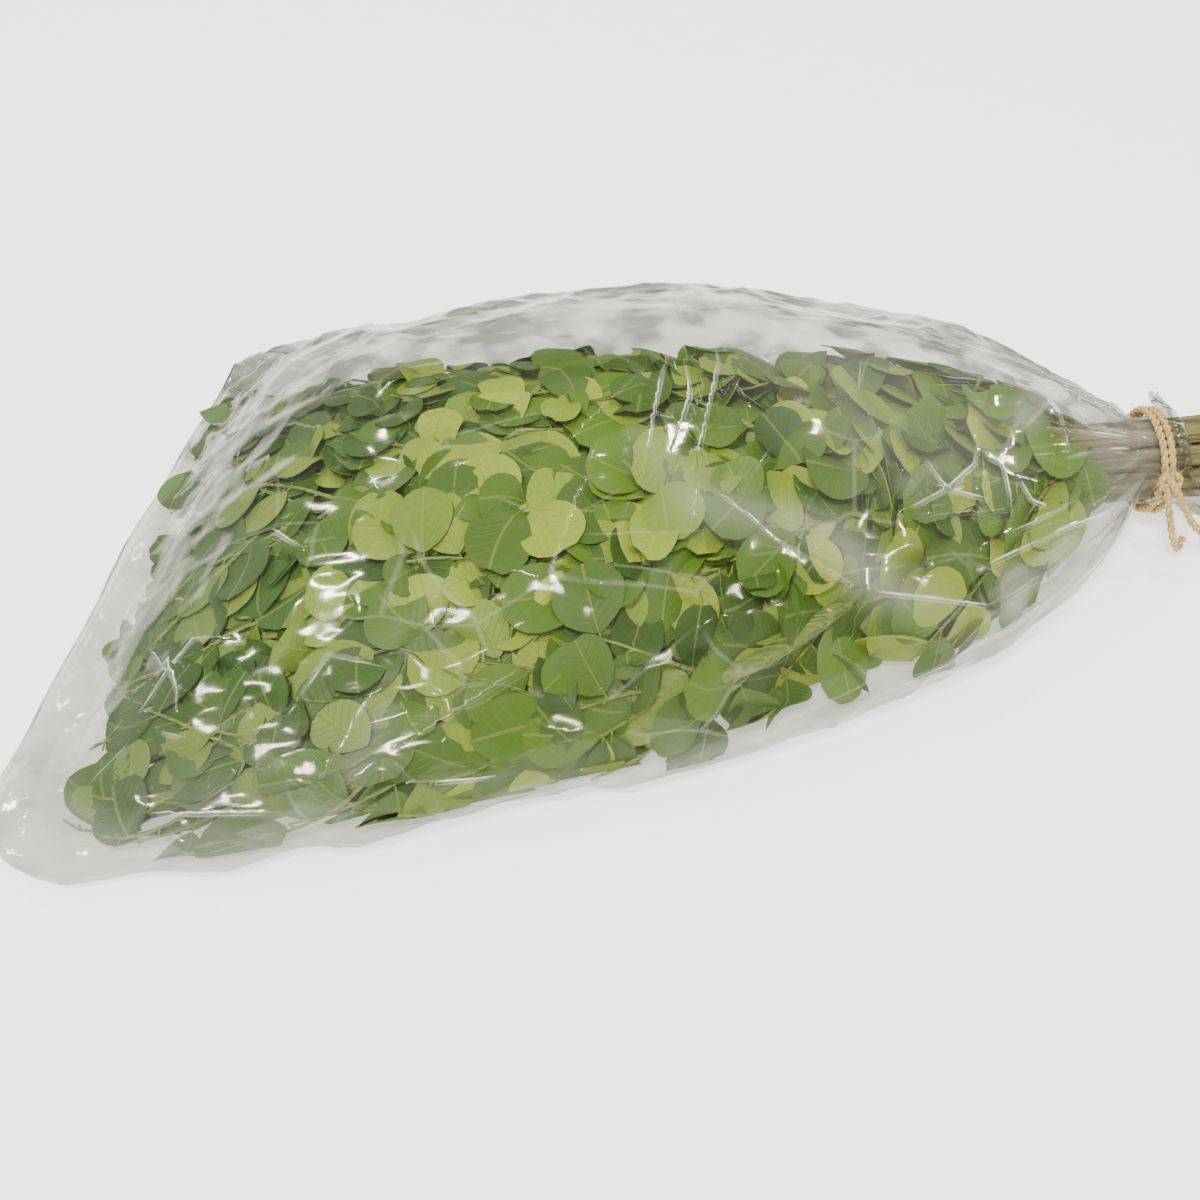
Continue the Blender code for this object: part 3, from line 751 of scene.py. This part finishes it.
def bag_point(x, angle):
    """The smooth outside of the film, in mm."""
    round_share = smooth_step(100.0, 145.0, x)
    across, up = np.cos(angle), np.sin(angle)
    half, fold = bag_row(x, HALF_WIDTH), bag_row(x, FOLD)
    over = np.maximum(1 - np.abs(across) ** mix(2.3, 2.0, round_share), 0.0)
    high = fold + (bag_row(x, TOP) - fold) * over ** (1 / mix(1.7, 2.0, round_share))
    below = np.maximum(1 - np.abs(across) ** mix(4.0, 2.0, round_share), 0.0)
    low = fold - (fold - bag_row(x, BOTTOM)) * np.sqrt(below)
    z = np.where(up >= 0, high, low)
    lag = -5.0 * smooth_step(157.0, 170.0, x) * up
    y = bag_row(x, SHIFT) + half * across
    return np.stack((x + skew(x) * across + lag, y, np.maximum(z, 0.0)), axis=-1)


def film_normal(x, angle):
    """The direction across the film at a point of it."""
    along = bag_point(x + 0.5, angle) - bag_point(x - 0.5, angle)
    around = bag_point(x, angle + 0.01) - bag_point(x, angle - 0.01)
    normal = np.cross(along, around)
    return normal / (np.linalg.norm(normal, axis=-1)[..., None] + 1e-9)


def crease_field(points, outs, line):
    """How far each point lies from a crease, in mm and signed by its side, and the crease's fade."""
    runs = np.diff(line, axis=0)
    spans = np.linalg.norm(runs, axis=1)
    gone = 0.0
    for k, (run, span) in enumerate(zip(runs, spans)):
        t = ((points - line[k]) @ run) / span**2
        off = points - line[k] - np.clip(t, 0, 1)[:, None] * run
        away = np.linalg.norm(off, axis=1)
        away *= np.where(np.sum(np.cross(run, outs) * off, axis=1) < 0, -1, 1)
        reach = (gone + np.clip(t, -0.2, 1.2) * span) / spans.sum()
        if k == 0:
            signed, along_it = away, reach
        else:
            closer = np.abs(away) < np.abs(signed)
            signed, along_it = np.where(closer, away, signed), np.where(closer, reach, along_it)
        gone += span
    return signed, np.clip(1 - np.abs(2 * along_it - 1) ** 4, 0, 1)


def film_line(spots):
    """The points in mm of spots on the film."""
    return bag_point(np.array([x for x, _ in spots], float), np.radians([turn for _, turn in spots]))


film_points = bag_point(stations, angles)
film_out = film_normal(stations, angles)
middles = np.stack((stations, bag_row(stations, SHIFT), bag_row(stations, TOP) * 0.4), axis=-1)
facing_in = np.sum(film_out * (film_points - middles), axis=1) < 0
film_out[facing_in] *= -1

side_slack = smooth_step(0.5, 0.95, np.abs(np.cos(angles)))
far_slack = smooth_step(0.1, 0.8, np.cos(angles))
end_slack = 1 - smooth_step(-126.0, -92.0, stations)
neck_slack = smooth_step(70.0, 128.0, stations)
slack = np.clip(0.42 + side_slack * 0.45 + far_slack * 0.35 + end_slack * 0.15 + neck_slack * 0.6, 0, 1.5)
tied = smooth_step(0.0, 7.0, np.minimum(np.abs(stations - TIED_FROM), np.abs(stations - TIED_TO)))
tied = np.where((stations > TIED_FROM) & (stations < TIED_TO), 0.0, tied)
slack = slack * np.where(stations > 128, tied * 0.5, 1.0)

# Ridges where the film bridges from leaf to leaf, drawn out along the bag, with small ones between.
tents = np.empty(len(film_points))
drift = np.empty(len(film_points))
for k, place in enumerate(film_points):
    broad = noise.voronoi(Vector((place[0] / 44, place[1] / 27, place[2] / 24 + 7)))[0]
    small = noise.voronoi(Vector((place[0] / 19 + 3, place[1] / 12, place[2] / 12)))[0]
    tents[k] = 1.0 - min(broad[1] - broad[0], 0.5) / 0.5 + 0.4 * (1.0 - min(small[1] - small[0], 0.5) / 0.5)
    drawn = Vector((place[0] / 70, place[1] / 20, place[2] / 20))
    drift[k] = 1 - 3.6 * abs(noise.noise(drawn)) - 1.4 * abs(noise.noise(drawn * 2.7))
lift = slack * (3.0 * (tents - 0.3) + 0.6 * drift)

turns = angles / (2 * math.pi)
wander = 0.10 * np.sin(stations / 17.0 + 5 * np.sin(angles * 2)) + 0.06 * np.sin(angles * 5 + 1.0)
fold_wave = np.abs(((turns * PLEATS + wander) % 1.0) * 2 - 1) ** 0.8 - 0.55
fold_wave2 = np.abs(((turns * PLEATS * 2 + wander * 1.7 + 0.3) % 1.0) * 2 - 1) ** 0.8 - 0.5
pleated = smooth_step(76.0, 136.0, stations)
lift += pleated * (tied * 0.85 + 0.15) * (PLEAT_HEIGHT * fold_wave + 0.8 * fold_wave2)

# Short creases that handling left, as stars of a few straight arms, and others that run to the neck.
lines = []
creases = random.Random(CREASE_SEED)
for _ in range(STARS):
    x0, a0 = creases.uniform(-122, 112), creases.uniform(-0.2, math.pi + 0.2)
    turn = creases.uniform(0, 2 * math.pi)
    size = creases.uniform(0.35, 1.0)
    for _ in range(creases.randrange(2, 6)):
        turn += creases.uniform(0.7, 1.9)
        length = creases.uniform(9, 38) * (0.6 + 0.4 * size) * (1 + 0.5 * abs(math.cos(turn)))
        x1 = min(x0 + length * math.cos(turn), 134.0)
        spots = ((x0, a0), (x1, a0 + length * math.sin(turn) / 75))
        lines.append((spots, size * creases.uniform(0.5, 1.4), creases.uniform(2.0, 4.5)))
for _ in range(RUN_INS):
    x0, a0 = creases.uniform(30, 100), creases.uniform(-0.3, math.pi + 0.6)
    half_way = (0.5 * (x0 + 138), a0 + creases.gauss(0, 0.06))
    spots = ((x0, a0), half_way, (creases.uniform(130, 144), a0 + creases.gauss(0, 0.1)))
    lines.append((spots, creases.uniform(0.6, 1.4), creases.uniform(1.4, 2.8)))
lines = [([(x, math.degrees(a)) for x, a in spots], *sizes) for spots, *sizes in lines]
best = np.zeros(len(film_points))
apart = np.full(len(film_points), 9.0)
off_seam = smooth_step(SEAM, -127.0, stations)
loose = np.where(stations > 126, tied, 1.0) * off_seam
for k, (spots, height, width) in enumerate(LONG_CREASES + tuple(lines)):
    signed, fade = crease_field(film_points, film_out, film_line(spots))
    strength = fade * loose * (1.0 if k < len(LONG_CREASES) else 0.5 * min(height, 1.0))
    rounded = np.sqrt(signed**2 + 0.8) - 0.9
    crest = 0.75 * height * fade * loose * np.exp(-rounded / width)
    lift = lift * (1 - 0.6 * np.minimum(crest / max(height, 1.0), 1)) + crest
    score = strength * np.clip(1 - np.abs(signed) / 4.0, 0, 1)
    apart = np.where(score > best, signed, apart)
    best = np.maximum(score, best)

room = 1.3 + 4.0 * side_slack + 3.0 * far_slack
lift = np.maximum(lift - 0.5, -room) * off_seam
fold = bag_row(stations, FOLD)
film_points[:, 2] = mix(fold, film_points[:, 2], smooth_step(-131.5, -126.0, stations))
film_points = film_points + film_out * lift[:, None]
film_points[:, 2] += (1 - smooth_step(SEAM, -100.0, stations)) * (
    2.0 + 1.4 * np.sin(film_points[:, 1] / 19.0 + 0.7) + 0.6 * np.sin(film_points[:, 1] / 7.1))
short = smooth_step(-0.5, 0.7, np.sin(angles)) * smooth_step(TIED_TO, MOUTH, stations)
film_points[:, 0] -= MOUTH_SHORTER * short
film_points[:, 2] = np.maximum(film_points[:, 2], 0.12)
film_mesh.vertices.foreach_set("co", (film_points * MM).ravel())
crease_layer = film_mesh.attributes.new("crease", "FLOAT_COLOR", "POINT")
dust_and_sheen = np.zeros(len(film_points))
for spots, width, strength in HAZE_AND_SHEEN_BANDS:
    signed, fade = crease_field(film_points, film_out, film_line(spots))
    dust_and_sheen = np.maximum(dust_and_sheen, strength * fade * np.exp(-(signed / width) ** 2))
# By the neck the gathered film is whiter where it lies doubled, and whiter still along the pleats as a
# painted highlight.
doubled_and_sheen = smooth_step(112.0, 142.0, stations) * (0.35 + 0.65 * np.clip(fold_wave + 0.55, 0.0, 1.0))
doubled_and_sheen *= 1 - smooth_step(150.0, 158.0, stations) * smooth_step(-0.6, 0.2, np.sin(angles))
dust_and_sheen = np.maximum(dust_and_sheen, 0.9 * doubled_and_sheen)
# Painted shade: the film's margins off the leaves, most of all along its far side, are marked to be coloured
# dark grey-green.
shaded_margin = np.clip(side_slack * 0.2 + far_slack * 0.8 + end_slack * 0.15, 0.0, 1.0)
values = np.stack((apart, best, shaded_margin, dust_and_sheen), axis=-1)
crease_layer.data.foreach_set("color", values.ravel())
sheet = bmesh.new()
sheet.from_mesh(film_mesh)
bmesh.ops.remove_doubles(sheet, verts=sheet.verts, dist=0.000005)
bmesh.ops.recalc_face_normals(sheet, faces=sheet.faces)
if max(sheet.faces, key=lambda face: face.calc_center_median().z).normal.z < 0:
    bmesh.ops.reverse_faces(sheet, faces=sheet.faces)
sheet.to_mesh(film_mesh)
sheet.free()
film_mesh.shade_smooth()

film = Finish("clear_film")
creased = film.node("ShaderNodeAttribute", {"attribute_name": "crease"}, out="Color")
apart, marked, shaded_margin = film.split("ShaderNodeSeparateColor", creased)
haze = film.cloud(film.place(), 30.0, 2.0)
wrinkle = film.cloud(film.place((0.7, 1.3, 1.3)), 150.0, 1.0, 0.4)
worn = film.cloud(film.place((0.6, 1.0, 1.0)), 100.0, 2.0)
broken = film.step(worn, 0.42, 0.62)
streaked = film.step(worn, 0.40, 0.66)


def thin_line(distance, inner, outer):
    """1 at distance 0 and 0 past the outer distance on either side."""
    return 1.0 - film.step(film.size_of(distance), inner, outer)


dust_and_sheen = film.node("ShaderNodeAttribute", {"attribute_name": "crease"}, out="Alpha")
strong = film.step(marked, 0.62, 0.85)
seen = film.step(marked, 0.12, 0.75)
# Painted highlights: thin white lines along the creases, with a fainter second line beside each, broken up
# along their length.
painted_crease_glints = thin_line(apart, 0.10, 0.34) + thin_line(apart - 0.95, 0.03, 0.22) * 0.5
painted_crease_glints = painted_crease_glints * seen * broken
painted_crease_glints = painted_crease_glints + thin_line(apart, 0.08, 0.42) * strong * (0.04 + broken * 0.45)
# A painted sheen beside the strongest creases, on one side only.
painted_crease_sheen = thin_line(apart - 0.2, 0.0, 3.4) * film.step(apart, -0.5, 0.3) * strong
# Painted highlights along a fine network of small creases, in patches.
cells = film.node(
    "ShaderNodeTexVoronoi", {"feature": "DISTANCE_TO_EDGE"},
    {"Vector": film.place((0.62, 1.0, 1.0)), "Scale": 44.0}, "Distance")
painted_fine_crease_glints = (1.0 - film.step(cells, 0.004, 0.022)) * film.step(haze, 0.46, 0.58)
film_bump = film.bump(wrinkle * 0.6 + thin_line(apart, 0.1, 0.5) * seen, 0.35, 0.0008)
edge_on = film.node("ShaderNodeLayerWeight", {}, {"Blend": 0.5, "Normal": film_bump}, "Facing")
# What shows of the film itself: its reflections; white haze and dust, partly painted sheen; painted
# highlights along its creases; and grey where it is seen edge-on, with painted shade over its margins.
mirror = 0.045 + edge_on ** 5.0 * 0.8
haze_and_painted_sheen = 0.002 + film.step(haze, 0.5, 0.75) * (0.012 + shaded_margin * 0.05)
haze_and_painted_sheen = haze_and_painted_sheen + dust_and_sheen * (0.1 + haze * 1.2) * 0.22 + painted_crease_sheen * 0.10
haze_and_painted_sheen = haze_and_painted_sheen + edge_on ** 3.0 * 0.12 + painted_crease_glints * 0.38 + painted_fine_crease_glints * 0.06
shadow_line = thin_line(apart + 0.75, 0.1, 0.5) * seen
# Painted shade: the margins are coloured dark grey-green in streaks, with painted shadow beside the creases.
# The film also greys where it is seen edge-on.
grey_and_painted_shade = shaded_margin * (0.25 + streaked) * 0.52 + edge_on ** 4.0 * 0.14
grey_and_painted_shade = grey_and_painted_shade + shadow_line * (0.05 + shaded_margin * 0.3)
share = haze_and_painted_sheen + grey_and_painted_shade + mirror
film.finished(
    Base_Color=film.blend(grey_and_painted_shade / (haze_and_painted_sheen + grey_and_painted_shade), (0.88, 0.87, 0.81), (0.14, 0.15, 0.10)),
    Metallic=mirror / share,
    Roughness=0.07 + haze * 0.07,
    Normal=film_bump,
)
clear = film.node("ShaderNodeBsdfTransparent", {}, {"Color": (0.79, 0.79, 0.755)})
through = film.node("ShaderNodeMixShader", {}, {0: share, 1: clear, 2: Wire(film, film.shader.outputs[0])})
film.put(film.output, "Surface", through)
film_mesh.materials.append(film.material)
film_bag = bpy.data.objects.new("film_bag_sheet", film_mesh)
bpy.context.scene.collection.objects.link(film_bag)
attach(film_bag, "root")
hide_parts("film_bag")

# Twine: two-ply jute, wound twice round the gathered film and stems, crossed and knotted on the
# near side with its two ends left loose. Coarse short fibres stand off it.
TIE_X = 149.6
TIE_TURN_GAP = 3.4
TIE_RADIUS = 13.75
PLIES = 2
PLY_RADIUS = 0.62
PLY_OFFSET = 0.50
TWIST = 4.6
KNOT_ANGLE = math.radians(160.0)
RING_STEPS = 90
# The loose ends: where each leaves the knot, how far it goes round the neck, to the near side and
# towards the mouth.
LOOSE_ENDS = ((1.0, 12.0, 3.0, 13.0), (-1.1, 17.0, 1.5, 7.0))
HAIRS = 240
HAIR_SEED = 5


def twisted(path, start):
    """The middle lines of plies that wind round each other along a path in mm."""
    runs = np.linalg.norm(np.diff(path, axis=0), axis=1)
    at = np.concatenate(((0.0,), np.cumsum(runs)))
    steps = np.linspace(0, at[-1], max(8, int(at[-1] / 0.7)))
    line = np.stack([np.interp(steps, at, path[:, k]) for k in range(3)], axis=-1)
    ahead = np.gradient(line, axis=0)
    ahead /= np.linalg.norm(ahead, axis=1)[:, None]
    side = np.cross(ahead, np.array((0.31, 0.22, 0.93)))
    side /= np.linalg.norm(side, axis=1)[:, None]
    other = np.cross(ahead, side)
    made = []
    for ply in range(PLIES):
        turn = start + 2 * math.pi * (steps / TWIST + ply / PLIES)
        made.append(line + PLY_OFFSET * (side * np.cos(turn)[:, None] + other * np.sin(turn)[:, None]))
    return made


def ring_path(radius, x_first, x_last):
    """One turn of twine round the neck, from the knot to the knot."""
    turn = np.linspace(KNOT_ANGLE, KNOT_ANGLE + 2 * math.pi, RING_STEPS)
    x = np.linspace(x_first, x_last, RING_STEPS)
    wobble = radius + 0.16 * np.sin(turn * 3 + x_first)
    return np.stack((x, wobble * np.cos(turn), STEM_HEIGHT + wobble * np.sin(turn)), axis=-1)


outwards = np.array((0.0, math.cos(KNOT_ANGLE), math.sin(KNOT_ANGLE)))
around = np.array((0.0, -math.sin(KNOT_ANGLE), math.cos(KNOT_ANGLE)))
ahead = np.array((1.0, 0.0, 0.0))
knot = np.array((TIE_X + TIE_TURN_GAP / 2, 0.0, STEM_HEIGHT)) + outwards * (TIE_RADIUS + 0.9)
turn = np.linspace(0, 2 * math.pi, 40)
knot_path = knot + np.outer(2.5 * np.cos(turn), ahead) + np.outer(1.9 * np.sin(turn * 2), around) \
    + np.outer(0.9 + 0.7 * np.sin(turn), outwards)
paths = [
    ring_path(TIE_RADIUS, TIE_X, TIE_X + 0.9),
    ring_path(TIE_RADIUS + 0.1, TIE_X + TIE_TURN_GAP, TIE_X + 2.8),
    knot_path,
]
for root, sway, nearer, forward in LOOSE_ENDS:
    t = np.linspace(0, 1, 24)[:, None]
    paths.append(knot + ahead * (root + forward * t) + around * sway * np.sin(2.2 * t)
                 + outwards * (0.6 + 2.2 * np.sin(math.pi * t)) + np.array((0, -1.0, 0)) * nearer * t
                 + np.array((0, 0, -3.0)) * t)
plies = []
for path in paths:
    path[:, 2] = np.maximum(path[:, 2], PLY_OFFSET + PLY_RADIUS + 0.1)
    for line in twisted(path, len(plies)):
        plies.append((line, [PLY_RADIUS] * len(line)))
hairs = []
fibre = random.Random(HAIR_SEED)
for _ in range(HAIRS):
    line = plies[fibre.randrange(len(plies))][0]
    k = fibre.randrange(1, len(line) - 1)
    along_ply = line[k] - line[k - 1]
    away = np.array([fibre.gauss(0, 1) for _ in range(3)])
    along_ply = along_ply / np.linalg.norm(along_ply)
    away -= along_ply * (away @ along_ply)
    away /= np.linalg.norm(away)
    start = line[k] + away * PLY_RADIUS * 0.8
    long = fibre.uniform(1.0, 3.4)
    curl = np.array([fibre.gauss(0, 0.35) for _ in range(3)])
    t = np.array((0, 0.35, 0.7, 1))[:, None]
    hair = start + long * (along_ply * t + away * 0.55 * t + curl * t * t)
    hair[:, 2] = np.maximum(hair[:, 2], 0.1)
    hairs.append((hair, [0.055, 0.05, 0.04, 0.025]))
bm = bmesh.new()
bm.from_mesh(tube_mesh("twine", plies, 8))
bm.from_mesh(tube_mesh("twine", hairs, 4))
twine_mesh = bpy.data.meshes.new("twine_tie")
bm.to_mesh(twine_mesh)
bm.free()
twine_mesh.shade_smooth()
jute = Finish("jute_twine")
strands = jute.cloud(jute.place(), 1500.0, 4.0, 0.6)
dirt = jute.cloud(jute.place(), 260.0, 2.0)
straw = jute.blend(jute.step(strands, 0.3, 0.7), (0.23, 0.13, 0.03), (0.82, 0.62, 0.27))
twine_mesh.materials.append(jute.finished(
    Base_Color=jute.blend(dirt * 0.5, straw, (0.50, 0.33, 0.13)),
    Roughness=0.75 + strands * 0.2,
    Normal=jute.bump(strands, 0.9, 0.0004),
))
twine = bpy.data.objects.new("twine_tie_plies", twine_mesh)
bpy.context.scene.collection.objects.link(twine)
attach(twine, "root")
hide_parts("twine_tie")
